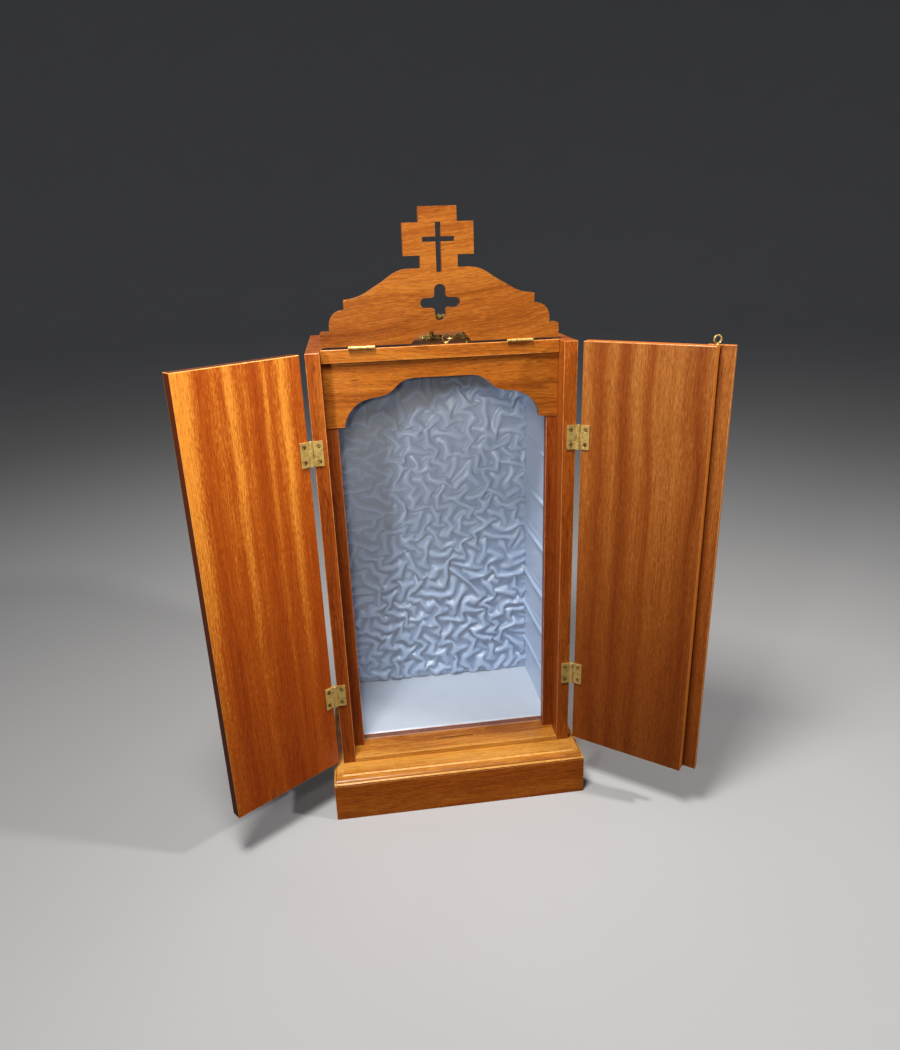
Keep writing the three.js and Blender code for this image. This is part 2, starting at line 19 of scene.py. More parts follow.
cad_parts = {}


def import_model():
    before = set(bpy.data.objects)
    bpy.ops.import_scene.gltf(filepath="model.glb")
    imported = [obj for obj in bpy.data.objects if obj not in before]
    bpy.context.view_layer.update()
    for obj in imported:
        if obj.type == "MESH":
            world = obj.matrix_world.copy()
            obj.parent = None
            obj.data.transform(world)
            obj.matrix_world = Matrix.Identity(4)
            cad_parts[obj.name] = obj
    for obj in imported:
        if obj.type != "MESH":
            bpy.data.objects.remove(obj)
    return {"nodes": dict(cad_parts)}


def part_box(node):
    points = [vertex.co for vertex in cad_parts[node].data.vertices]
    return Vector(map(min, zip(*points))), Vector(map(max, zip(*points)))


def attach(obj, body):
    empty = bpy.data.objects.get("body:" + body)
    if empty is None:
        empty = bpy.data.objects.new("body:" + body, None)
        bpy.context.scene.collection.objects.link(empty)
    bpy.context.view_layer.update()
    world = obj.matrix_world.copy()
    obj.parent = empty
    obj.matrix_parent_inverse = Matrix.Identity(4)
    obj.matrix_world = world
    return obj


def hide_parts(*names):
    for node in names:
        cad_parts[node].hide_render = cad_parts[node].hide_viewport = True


LOG = logging.getLogger("altar_cabinet")
MM = 0.001
ROW_RATIO = math.sqrt(3) / 2

Colour = tuple[float, float, float]
Point = tuple[float, float, float]


def srgb(red: int, green: int, blue: int) -> Colour:
    """A display colour from 0 to 255 as the linear colour that a shader takes."""
    return tuple(
        c / 12.92 if c <= 0.04045 else ((c + 0.055) / 1.055) ** 2.4
        for c in (red / 255, green / 255, blue / 255)
    )


# ---------------------------------------------------------------- shader expressions
class Socket:
    """A node's output that takes part in Python arithmetic, each step adding its node."""

    def __init__(self, tree: Tree, output: bpy.types.NodeSocket) -> None:
        """Wraps an output of a node in a tree."""
        self.tree = tree
        self.output = output

    def _math(self, operation: str, first: Any, second: Any) -> Socket:
        """One Math node on two values."""
        return self.tree.node("ShaderNodeMath", {"operation": operation}, {0: first, 1: second})

    def __add__(self, other: Any) -> Socket:
        """self + other"""
        return self._math("ADD", self, other)

    __radd__ = __add__

    def __sub__(self, other: Any) -> Socket:
        """self - other"""
        return self._math("SUBTRACT", self, other)

    def __rsub__(self, other: Any) -> Socket:
        """other - self"""
        return self._math("SUBTRACT", other, self)

    def __mul__(self, other: Any) -> Socket:
        """self * other"""
        return self._math("MULTIPLY", self, other)

    __rmul__ = __mul__

    def __truediv__(self, other: Any) -> Socket:
        """self / other"""
        return self._math("DIVIDE", self, other)

    def __pow__(self, other: Any) -> Socket:
        """self ** other"""
        return self._math("POWER", self, other)

    def step(self, low: float, high: float) -> Socket:
        """0 below low, 1 above high, and smooth between them."""
        return self.tree.node(
            "ShaderNodeMapRange",
            {"interpolation_type": "SMOOTHSTEP"},
            {"Value": self, "From Min": low, "From Max": high},
        )

    def part(self, axis: int) -> Socket:
        """One component of a vector."""
        return self.tree.node("ShaderNodeSeparateXYZ", {}, {0: self}, axis)

    def times(self, factors: Point) -> Socket:
        """A vector scaled along each axis."""
        return self.tree.node(
            "ShaderNodeVectorMath", {"operation": "MULTIPLY"}, {0: self, 1: factors}
        )

    def shifted(self, by: Any) -> Socket:
        """A vector moved by another."""
        return self.tree.node("ShaderNodeVectorMath", {"operation": "ADD"}, {0: self, 1: by})

    def turned(self, axis: str, angle: float, about: Point = (0.0, 0.0, 0.0)) -> Socket:
        """A vector turned about "Y_AXIS" or "Z_AXIS", through a point."""
        return self.tree.node(
            "ShaderNodeVectorRotate",
            {"rotation_type": axis},
            {"Vector": self, "Center": about, "Angle": angle},
        )


class Tree:
    """The node tree of one new material."""

    def __init__(self, name: str) -> None:
        """Makes the material and empties its tree."""
        self.material = bpy.data.materials.new(name)
        self.material.use_nodes = True
        self.nodes = self.material.node_tree.nodes
        self.links = self.material.node_tree.links
        self.nodes.clear()

    def node(
        self,
        kind: str,
        settings: dict[str, Any] | None = None,
        inputs: dict[Any, Any] | None = None,
        output: Any = 0,
    ) -> Socket:
        """Adds a node.

        Args:
            kind: the node's type.
            settings: attributes set first; "stops" are a ramp's (position, colour) pairs.
            inputs: values or sockets by the input's name or number.
            output: the output that is wanted, by name or number.

        Returns:
            The wanted output.
        """
        made = self.nodes.new(kind)
        for key, value in (settings or {}).items():
            if key == "stops":
                self._fill_ramp(made.color_ramp, value)
            else:
                setattr(made, key, value)
        for key, value in (inputs or {}).items():
            if isinstance(value, Socket):
                self.links.new(value.output, made.inputs[key])
            elif isinstance(value, tuple) and made.inputs[key].type == "RGBA":
                made.inputs[key].default_value = (*value[:3], 1.0)
            else:
                made.inputs[key].default_value = value
        return Socket(self, made.outputs[output] if made.outputs else None)

    @staticmethod
    def _fill_ramp(ramp: bpy.types.ColorRamp, stops: Sequence[tuple[float, Colour]]) -> None:
        """Sets a ramp's stops."""
        while len(ramp.elements) < len(stops):
            ramp.elements.new(1.0)
        for element, (position, colour) in zip(ramp.elements, stops):
            element.position = position
            element.color = (*colour, 1.0)

    def place(self) -> Socket:
        """Positions in the piece's own space."""
        return self.node("ShaderNodeTexCoord", {}, {}, "Object")

    def noise(self, at: Socket, scale: float, detail: float = 2.0, rough: float = 0.5) -> Socket:
        """Smooth noise from 0 to 1."""
        return self.node(
            "ShaderNodeTexNoise",
            {},
            {"Vector": at, "Scale": scale, "Detail": detail, "Roughness": rough},
        )

    def mix(self, factor: Any, first: Any, second: Any, blend: str = "MIX") -> Socket:
        """A mix of two colours."""
        return self.node(
            "ShaderNodeMix",
            {"data_type": "RGBA", "blend_type": blend},
            {0: factor, 6: first, 7: second},
            2,
        )

    def bump(self, height: Socket, distance: float, strength: float) -> Socket:
        """A normal from a height."""
        return self.node(
            "ShaderNodeBump",
            {},
            {"Height": height, "Distance": distance, "Strength": strength},
            "Normal",
        )

    def surface(self, inputs: dict[str, Any]) -> bpy.types.Material:
        """Ends the tree in one Principled surface and returns the material."""
        shader = self.node("ShaderNodeBsdfPrincipled", {}, inputs)
        self.node("ShaderNodeOutputMaterial", {}, {"Surface": shader})
        return self.material


# ---------------------------------------------------------------- finishes
# How fine each pattern of the wood is, per metre.
SWAY_SCALE = 9.0
DRIFT_SCALE = 22.0
FIGURE_SCALE = 42.0
RUB_SCALE = 160.0
STREAK_SCALE = 520.0
FLECK_SCALE = 1150.0
PORE_SCALE = 2100.0

# How far the grain sways along each axis, and where the pores' own pattern starts.
SWAY_REACH = (0.012, 0.004, 0.02)
PORE_START = (3.1, 0.7, 1.3)
# The stretch of the shortest flecks.
SHORTEST_FLECK = 0.14
# The ribbon stripes: the width that they cover in mm, their middle tone, how far they
# waver with the sway and the drift, and the heights over which the painted shade at the foot fades out.
RIBBON_REACH = 150.0
RIBBON_MIDDLE = 0.48
RIBBON_WAVER = (0.010, 0.012)
SHADE_FADE_HEIGHTS = (0.08, 0.50)
# Where the dark, middle and light colours lie in the tone.
TONES = (0.15, 0.5, 0.88)
# What rubbing, with a painted highlight, adds to the colour of an edge.
RUB_AND_HIGHLIGHT = (0.20, 0.13, 0.07)


class Grain(Enum):
    """The way that a board's grain runs, as the stretch of its pattern along each axis."""

    ACROSS = (0.035, 1.0, 1.0)
    DEEP = (1.0, 0.035, 1.0)
    UP = (1.0, 1.0, 0.035)


@dataclass(frozen=True)
class Wood:
    """Lacquered mahogany.

    Attributes:
        name: the material's name.
        dark, mid, light: the colours of the figure.
        grain: the way the grain runs.
        pivot: a point that the board's own axes start from.
        turn: the board's angle about Z.
        figure: how strong the broad, soft bands are.
        slant: how far the figure climbs across the grain.
        stripes: (mm from the pivot, lightness) of ribbon stripes, if the board has them.
        edge: the colour of the edges of a board with stripes; on the right door and its meeting strip a
            light tone that is painted light.
        pores: how dark the pores are.
        seed: moves the pattern, so that no two boards are alike.
    """

    name: str
    dark: Colour
    mid: Colour
    light: Colour
    grain: Grain = Grain.UP
    pivot: Point = (0.0, 0.0, 0.0)
    turn: float = 0.0
    figure: float = 0.5
    slant: float = 0.0
    stripes: tuple[tuple[float, float], ...] = ()
    edge: Colour = (0.0, 0.0, 0.0)
    pores: float = 0.5
    seed: float = 0.0

    def material(self) -> bpy.types.Material:
        """Builds the board's finish."""
        tree = Tree(self.name)
        own = self._own_axes(tree)
        along = own.times(self.grain.value).shifted((self.seed, self.seed * 1.7, -self.seed))
        sway = tree.noise(own.shifted((self.seed, 0.0, self.seed)), SWAY_SCALE, 1.0)
        reach = {axis: sway * share for axis, share in enumerate(SWAY_REACH)}
        swayed = along.shifted(tree.node("ShaderNodeCombineXYZ", {}, reach))
        figure = tree.noise(swayed, FIGURE_SCALE)
        streaks = tree.noise(swayed, STREAK_SCALE, 3.0, 0.6)
        pore = tree.noise(along.shifted(PORE_START), PORE_SCALE, 0.0).step(0.62, 0.74)
        tone = (figure - 0.5) * (2.0 * self.figure) + (streaks - 0.5) * 0.9 + 0.5
        if self.stripes:
            tone = self._striped(tree, own, sway, tone)
        tone = tone + (self._fleck(tree, own) - 0.5) * (0.35 + tone * 0.9)
        colour = tree.node(
            "ShaderNodeValToRGB",
            {"stops": tuple(zip(TONES, (self.dark, self.mid, self.light)))},
            {"Fac": tone},
        )
        colour = tree.mix(pore * self.pores, colour, tuple(c * 0.35 for c in self.dark))
        if self.stripes:
            colour = tree.mix(self._on_face(tree), self.edge, colour)
        return tree.surface(
            {
                "Base Color": colour,
                "Roughness": 0.36 + (streaks - 0.5) * 0.16,
                "Specular IOR Level": 0.25,
                "Coat Weight": 0.2,
                "Coat Roughness": 0.16,
                "Normal": tree.bump(streaks * 0.3 - pore, 0.0002, 0.3),
            }
        )

    def _own_axes(self, tree: Tree) -> Socket:
        """Positions along the board's own axes, with the slant taken in."""
        own = tree.place().turned("Z_AXIS", -self.turn, self.pivot)
        own = own.shifted(tuple(-c for c in self.pivot))
        return own.turned("Y_AXIS", self.slant) if self.slant else own

    def _fleck(self, tree: Tree, own: Socket) -> Socket:
        """Short, fine flecks along the grain, from 0 to 1."""
        short = own.times(tuple(max(SHORTEST_FLECK, c) for c in self.grain.value))
        return tree.noise(short.shifted((self.seed, 0.3, 0.9)), FLECK_SCALE, 2.0, 0.6)

    def _on_face(self, tree: Tree) -> Socket:
        """1 on the board's two faces and 0 on its edges."""
        normal = tree.node("ShaderNodeTexCoord", {}, {}, "Normal")
        return (normal.turned("Z_AXIS", -self.turn).part(1) ** 2.0).step(0.3, 0.7)

    def _striped(self, tree: Tree, own: Socket, sway: Socket, tone: Socket) -> Socket:
        """Adds ribbon stripes, which waver a little, with painted shade that darkens the board and fades
        its stripes toward its foot.

        Args:
            tree: the board's tree.
            own: positions along the board's own axes.
            sway: slow noise that bends the stripes.
            tone: the lightness without the stripes.

        Returns:
            The lightness with them.
        """
        drift = tree.noise(own.times((1.0, 1.0, 0.25)), DRIFT_SCALE, 1.0)
        waver = (sway - 0.5) * RIBBON_WAVER[0] + (drift - 0.5) * RIBBON_WAVER[1]
        across = own.part(0) + waver
        stripe = tree.node(
            "ShaderNodeValToRGB",
            {"stops": tuple((mm / RIBBON_REACH, (light,) * 3) for mm, light in self.stripes)},
            {"Fac": across / (RIBBON_REACH * MM)},
        )
        # painted shade: darker, with fainter stripes, toward the foot of the board
        out_of_painted_shade = own.part(2).step(*SHADE_FADE_HEIGHTS)
        return tone * 0.6 + (stripe - RIBBON_MIDDLE) * (0.3 + out_of_painted_shade * 0.7) + out_of_painted_shade * 0.22

    def arris(self) -> bpy.types.Material:
        """The rounded edge of the board, paler where the lacquer is rubbed thin and with a painted
        highlight along it.
        """
        tree = Tree(self.name + "_arris")
        rub = tree.noise(tree.place(), RUB_SCALE, 3.0, 0.65)
        # painted highlight as well as wear: every rounded edge is made paler than the board's face
        worn_and_highlit = tuple(min(1.0, 1.3 * c + rubbed) for c, rubbed in zip(self.light, RUB_AND_HIGHLIGHT))
        return tree.surface(
            {
                "Base Color": tree.mix(rub.step(0.3, 0.75), self.light, worn_and_highlit),
                "Roughness": 0.3 + rub * 0.15,
                "Coat Weight": 0.6,
                "Coat Roughness": 0.14,
            }
        )


# How fine the brass's patches of tarnish and its grit are, per metre.
PATCH_SCALE = 240.0
GRIT_SCALE = 2600.0


@dataclass(frozen=True)
class Brass:
    """Brass, with tarnish in patches.

    Attributes:
        name: the material's name.
        bright, dull: its polished and tarnished colours.
        polish: the roughness where it is polished.
        wear: the share of it that is tarnished, from 0 to 1.
        metal: how metallic it is, less where a film of lacquer dulls it.
    """

    name: str
    bright: Colour
    dull: Colour
    polish: float
    wear: float
    metal: float

    def material(self) -> bpy.types.Material:
        """Builds the finish."""
        tree = Tree(self.name)
        at = tree.place()
        patches = tree.noise(at, PATCH_SCALE, 4.0, 0.62)
        grit = tree.noise(at, GRIT_SCALE)
        middle = 0.66 - 0.3 * self.wear
        tarnish = (patches + (grit - 0.5) * 0.25).step(middle - 0.1, middle + 0.12)
        return tree.surface(
            {
                "Base Color": tree.mix(tarnish, self.bright, self.dull),
                "Metallic": self.metal,
                "Roughness": self.polish + tarnish * 0.18 + (grit - 0.5) * 0.08,
                "Normal": tree.bump(patches + grit * 0.3, 0.0003, 0.12),
            }
        )


# How fine the satin's clouds and its threads are, per metre.
CLOUD_SCALE = 30.0
WEFT_SCALE = 1500.0
WARP_SCALE = 2600.0


@dataclass(frozen=True)
class Satin:
    """Pale satin with a fine weave.

    Attributes:
        name: the material's name.
        colour: the cloth's colour.
        shade: the colour of its darker threads.
        crease_shade: the colour of the painted shade deep between two folds.
    """

    name: str
    colour: Colour
    shade: Colour
    crease_shade: Colour

    def material(self) -> bpy.types.Material:
        """Builds the finish."""
        tree = Tree(self.name)
        at = tree.place()
        cloud = tree.noise(at, CLOUD_SCALE)
        weft = tree.noise(at.times((0.2, 1.0, 1.0)), WEFT_SCALE)
        warp = tree.noise(at.times((1.0, 1.0, 0.15)), WARP_SCALE, 1.0)
        thread = weft * 0.5 + warp * 0.5
        colour = tree.mix((thread - 0.5) * 0.7 + cloud * 0.6, self.colour, self.shade)
        # painted shade: the cloth is darkened where it dips between its folds
        hollow = tree.node("ShaderNodeAttribute", {"attribute_name": "hollow"}, {}, "Fac")
        return tree.surface(
            {
                "Base Color": tree.mix(hollow * 0.55, colour, self.crease_shade),
                "Roughness": 0.36 + (thread - 0.5) * 0.2,
                "Sheen Weight": 0.12,
                "Sheen Roughness": 0.4,
                "Specular IOR Level": 1.0,
                "Normal": tree.bump(thread, 0.0002, 0.18),
            }
        )


# How fine the smears on the glass are, per metre.
SMEAR_SCALE = 26.0


@dataclass(frozen=True)
class ClearGlass:
    """A clear pane, seen through and faintly glossy."""

    name: str = "clear_glass"

    def material(self) -> bpy.types.Material:
        """Builds the finish, with faint smears in the gloss."""
        tree = Tree(self.name)
        smear = tree.noise(tree.place(), SMEAR_SCALE, 3.0, 0.6)
        return tree.surface(
            {
                "Base Color": (0.9, 0.95, 1.0),
                "Roughness": 0.03 + smear * 0.05,
                "Alpha": 0.07,
                "Specular IOR Level": 0.9,
            }
        )


# The dark, middle and light colours of each kind of board, some of them the same mahogany painted lighter
# or darker as painted light and shade, as noted.
RUSSET = ((0.17, 0.025, 0.002), (0.31, 0.062, 0.004), (0.46, 0.13, 0.014))
AMBER = ((0.165, 0.036, 0.003), (0.28, 0.072, 0.006), (0.40, 0.130, 0.015))
HONEY = ((0.22, 0.052, 0.004), (0.39, 0.110, 0.009), (0.53, 0.19, 0.024))
COPPER = ((0.23, 0.040, 0.003), (0.41, 0.090, 0.006), (0.57, 0.165, 0.015))
# The sill's and the plinth cap's colours: the mahogany painted lighter, as painted light on their upward
# faces.
TOP_LIT = ((0.26, 0.070, 0.006), (0.48, 0.175, 0.020), (0.62, 0.29, 0.048))
# The colours of the boards that stand in shade: the mahogany painted darker, as painted shade.
SHADED = ((0.11, 0.017, 0.002), (0.24, 0.045, 0.004), (0.35, 0.085, 0.012))
# The two doors are one wood, in a lit and a shaded copy: the left door's brighter colours carry painted
# sheen, the right door's darker ones painted shade.
LEFT_RIBBON = ((0.27, 0.034, 0.002), (0.45, 0.088, 0.005), (0.84, 0.30, 0.034))
RIGHT_RIBBON = ((0.18, 0.033, 0.003), (0.30, 0.076, 0.009), (0.46, 0.175, 0.033))


# ---------------------------------------------------------------- mesh helpers
def smooth_mesh(name: str, points: np.ndarray, faces: Sequence[Sequence[int]]) -> bpy.types.Object:
    """A new object with smooth shading.

    Args:
        name: the piece's name.
        points: vertices as rows of x, y and z in metres.
        faces: vertex numbers, anticlockwise from outside.

    Returns:
        The object, linked to the scene.
    """
    mesh = bpy.data.meshes.new(name)
    mesh.from_pydata([tuple(map(float, p)) for p in points.reshape(-1, 3)], [], faces)
    mesh.validate()
    mesh.shade_smooth()
    made = bpy.data.objects.new(name, mesh)
    bpy.context.scene.collection.objects.link(made)
    return made


def grid_faces(columns: int, rows: int) -> list[tuple[int, int, int, int]]:
    """The quads of a grid of points that is stored column by column."""
    return [
        (i * rows + j, (i + 1) * rows + j, (i + 1) * rows + j + 1, i * rows + j + 1)
        for i in range(columns - 1)
        for j in range(rows - 1)
    ]


def staggered_faces(columns: int, rows: int) -> list[tuple[int, int, int]]:
    """The triangles of a net whose odd rows are shifted by half a step."""
    faces = []
    for i in range(columns - 1):
        for j in range(rows - 1):
            a, b = i * rows + j, (i + 1) * rows + j
            if j % 2:
                faces += [(a, b, b + 1), (a, b + 1, a + 1)]
            else:
                faces += [(a, b, a + 1), (b, b + 1, a + 1)]
    return faces


# Points closer than this are one, and an edge sharper than this many degrees is rounded.
WELD_DISTANCE = 0.01 * MM
SHARP_ANGLE = 32.0


def ease_edges(node: bpy.types.Object, width: float, arris: bool) -> None:
    """Welds a solid and rounds its sharp edges.

    Args:
        node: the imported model's object.
        width: the rounding's width in metres.
        arris: whether the rounding takes the object's second material.
    """
    mesh = node.data
    if "custom_normal" in mesh.attributes:
        mesh.attributes.remove(mesh.attributes["custom_normal"])
    mesh.shade_smooth()
    weld = node.modifiers.new("weld", "WELD")
    weld.merge_threshold = WELD_DISTANCE
    bevel = node.modifiers.new("eased_edges", "BEVEL")
    bevel.width = width
    bevel.segments = 2
    bevel.limit_method = "ANGLE"
    bevel.angle_limit = math.radians(SHARP_ANGLE)
    bevel.use_clamp_overlap = True
    bevel.harden_normals = False
    if arris:
        bevel.material = 1
    flat = node.modifiers.new("flat_faces", "WEIGHTED_NORMAL")
    flat.keep_sharp = True


# ---------------------------------------------------------------- woodwork
@dataclass
class Woodwork:
    """The boards of the cabinet: their finishes and rounded edges.

    Attributes:
        nodes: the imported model's objects.
        edge, edges: the width of a rounded edge, and of those that differ.
        left_pivot, right_pivot: a point on each door's hinge line.
        left_turn, right_turn: how far each door stands from its closed place.
        left_stripes, right_stripes: the ribbon stripes across each door.
    """

    nodes: dict[str, bpy.types.Object]
    edge: float = 0.55 * MM
    edges: dict[str, float] = field(default_factory=lambda: {"crest": 0.9 * MM, "sill": 0.25 * MM})
    left_pivot: Point = (-0.1373, -0.0652, 0.0)
    right_pivot: Point = (0.1373, -0.0652, 0.0)
    left_turn: float = math.radians(-144)
    right_turn: float = math.radians(180 + 140)
    left_stripes: tuple[tuple[float, float], ...] = (
        (0, 0.42), (14, 0.45), (21, 0.66), (26, 0.82), (31, 0.5), (39, 0.44), (44, 0.72), (50, 0.36),
        (56, 0.26), (65, 0.48), (70, 0.4), (77, 0.68), (81, 0.7), (86, 0.4), (96, 0.5), (104, 0.36),
        (111, 0.34), (116, 0.56), (123, 0.86), (132, 0.84),
    )
    right_stripes: tuple[tuple[float, float], ...] = (
        (0, 0.5), (8, 0.66), (15, 0.44), (24, 0.26), (34, 0.6), (38, 0.6), (46, 0.26), (52, 0.3),
        (62, 0.68), (68, 0.54), (75, 0.3), (80, 0.6), (90, 0.66), (103, 0.66), (109, 0.46), (114, 0.5),
        (121, 0.3), (128, 0.5), (134, 0.66), (146, 0.6),
    )

    def finishes(self) -> dict[Wood, tuple[str, ...]]:
        """The boards of each finish."""
        plain = {
            Wood("mahogany_crest", *AMBER, Grain.ACROSS, figure=0.75, slant=0.10, pores=0.35, seed=1.0): (
                "crest",
            ),
            Wood("mahogany_header", *HONEY, Grain.ACROSS, figure=0.7, pores=0.75, seed=2.0): (
                "header",
            ),
            Wood("mahogany_rail", *HONEY, Grain.ACROSS, figure=0.8, slant=-0.05, pores=0.5, seed=3.0): (
                "top_board",
            ),
            # painted light: the upward-facing sill and plinth cap take the mahogany painted lighter
            Wood("golden_mahogany", *TOP_LIT, Grain.ACROSS, figure=0.8, pores=0.4, seed=13.0): (
                "sill",
                "plinth_cap",
            ),
            Wood("mahogany_plinth", *COPPER, Grain.ACROSS, figure=0.5, pores=0.5, seed=4.0): (
                "plinth_front",
                "plinth_back",
            ),
            Wood("mahogany_plinth_side", *COPPER, Grain.DEEP, figure=0.5, pores=0.5, seed=5.0): (
                "plinth_left",
                "plinth_right",
            ),
            Wood("mahogany_side_left", *RUSSET, Grain.UP, figure=0.6, pores=0.5, seed=6.0): (
                "side_left",
            ),
            Wood("mahogany_side_right", *RUSSET, Grain.UP, figure=0.6, pores=0.5, seed=7.0): (
                "side_right",
            ),
            # painted shade: the stiles, and the boards below, take the mahogany painted darker
            Wood("dark_mahogany_stile", *SHADED, Grain.UP, figure=0.6, pores=0.6, seed=8.0): (
                "stile_left",
                "stile_right",
            ),
            Wood("dark_mahogany_board", *SHADED, Grain.UP, figure=0.5, pores=0.5, seed=9.0): (
                "back_panel",
                "plinth_bottom",
                "floor_board",
            ),
        }
        ribbon = {
            Wood(
                "ribbon_mahogany_left",
                *LEFT_RIBBON,
                pivot=self.left_pivot,
                turn=self.left_turn,
                figure=0.3,
                stripes=self.left_stripes,
                edge=(0.13, 0.024, 0.003),
                pores=0.25,
                seed=11.0,
            ): ("door_left",),
            Wood(
                "ribbon_mahogany_right",
                *RIGHT_RIBBON,
                pivot=self.right_pivot,
                turn=self.right_turn,
                figure=0.3,
                stripes=self.right_stripes,
                # painted light: the right door's edges take a light, lit tone
                edge=(0.62, 0.17, 0.018),
                pores=0.3,
                seed=12.0,
            ): ("door_right", "meeting_strip"),
        }
        return {**plain, **ribbon}

    def build(self) -> None:
        """Dresses every board."""
        for wood, boards in self.finishes().items():
            body, arris = wood.material(), wood.arris()
            for name in boards:
                node = self.nodes[name]
                node.data.materials.clear()
                node.data.materials.append(body)
                node.data.materials.append(arris)
                ease_edges(node, self.edges.get(name, self.edge), True)
            LOG.info("%s on %s", wood.name, ", ".join(boards))


# ---------------------------------------------------------------- brasswork
@dataclass(frozen=True)
class Rosette:
    """A ring of curled leaves around a foot of the handle, in millimetres.

    Attributes:
        leaves: how many leaves it has.
        throat: the radius at which it meets the foot.
        rim: how far it spreads between two leaves.
        reach: how much further each leaf spreads.
        rise: its height at the throat.
        swell: how far each leaf bulges.
        curl: how far each leaf's tip turns up.
        oval: how much wider it is along the handle.
        around, along: its points around the foot and from rim to throat.
    """

    leaves: int = 7
    throat: float = 4.7
    rim: float = 4.2
    reach: float = 3.2
    rise: float = 2.7
    swell: float = 1.8
    curl: float = 2.4
    oval: float = 1.15
    around: int = 96
    along: int = 14

    def points(self) -> np.ndarray:
        """Its surface in metres, as (around, along, (x, y, z)) from the foot's underside."""
        angle = np.linspace(0, 2 * math.pi, self.around)[:, None]
        inward = np.linspace(0, 1, self.along)[None]
        leaf = (0.5 + 0.5 * np.cos(self.leaves * angle)) ** 0.6
        radius = self.throat + (1 - inward) * (self.rim + self.reach * leaf)
        height = self.rise * inward + self.swell * np.sin(math.pi * inward) * leaf
        height += self.curl * leaf * (1 - inward) ** 4
        height[:, 0] = 0
        across = self.oval * radius * np.cos(angle)
        return np.stack([across, radius * np.sin(angle), height], -1) * MM


@dataclass
class Brasswork:
    """Hinges, screws, eyes, hook and handle.

    Attributes:
        nodes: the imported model's objects.
        hinge, screw, cast: the finishes.
        edge: the width of a rounded edge.
        foot: the radius of the handle's feet.
        rosette: the leaves around each foot.
    """

    nodes: dict[str, bpy.types.Object]
    hinge: Brass = Brass("hinge_brass", srgb(236, 202, 118), srgb(176, 138, 66), 0.34, 0.3, 0.6)
    screw: Brass = Brass("screw_brass", srgb(196, 158, 86), srgb(98, 70, 30), 0.3, 0.55, 0.8)
    cast: Brass = Brass("cast_brass", srgb(244, 208, 120), srgb(120, 88, 38), 0.26, 0.35, 0.6)
    edge: float = 0.2 * MM
    foot: float = 6.4 * MM
    rosette: Rosette = Rosette()

    def build(self) -> None:
        """Dresses every brass piece and casts the leaves of the handle's feet."""
        hinge, screw, cast = (f.material() for f in (self.hinge, self.screw, self.cast))
        for name, node in self.nodes.items():
            if "screw" in name:
                self._dress(node, screw)
            elif "leaf" in name:
                self._dress(node, hinge)
            elif name in ("door_eye", "top_eye", "hook", "handle"):
                self._dress(node, cast)
        LOG.info("brass on hinges, screws, eyes, hook and handle")
        low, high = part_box("handle")
        middle = (low.y + high.y) / 2
        for side, x in (("left", low.x + self.foot), ("right", high.x - self.foot)):
            self._rosette("handle_rosette_" + side, Vector((x, middle, low.z)), cast)

    def _rosette(self, name: str, at: Vector, finish: bpy.types.Material) -> None:
        """Casts a rosette around a foot of the handle.

        Args:
            name: the piece's name.
            at: the middle of the foot's underside.
            finish: its material.
        """
        points = self.rosette.points()
        made = smooth_mesh(name, np.array(at) + points, grid_faces(*points.shape[:2]))
        made.data.materials.append(finish)
        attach(made, "cabinet")
        LOG.info("%s, %d vertices", name, len(made.data.vertices))

    def _dress(self, node: bpy.types.Object, finish: bpy.types.Material) -> None:
        """Gives one piece its finish and slightly rounded edges."""
        node.data.materials.clear()
        node.data.materials.append(finish)
        ease_edges(node, self.edge, False)


# ---------------------------------------------------------------- lining
# The gaps between a sheet and the board behind it, the boards beside it and the back.
CLEAR = 0.3 * MM
SIDE_CLEAR = 0.2 * MM
BACK_CLEAR = 0.8 * MM
# The floor's sheet: its points, and the drop and the width of its turned-down edge.
FLOOR_GRID = (160, 90)
LIP_DROP = 1.5 * MM
LIP_WIDTH = 0.7 * MM
# The back's first unevenness: how far it swells, and over how many points.
FIRST_SWELL = 2 * MM
SWELL_CELL = 5
# How many places are tried for a catch, and how far a caught point strays.
PINCH_TRIES = 9000
PINCH_STRAY = 0.12
# How much tauter a hem is, and the share of the rounds in which the cloth grows.
HEM_PULL = 0.8
GROWING = 0.6
# The painted shade deep between the back's folds: the reach of the points around, and the depth at which
# it is darkest.
CREASE_SHADE_REACH = 4
CREASE_SHADE_DEPTH = 0.9 * MM


class Held(Enum):
    """The way that a sheet is held."""

    GATHERED = "gathered"
    STRETCHED = "stretched"
    LAID = "laid"


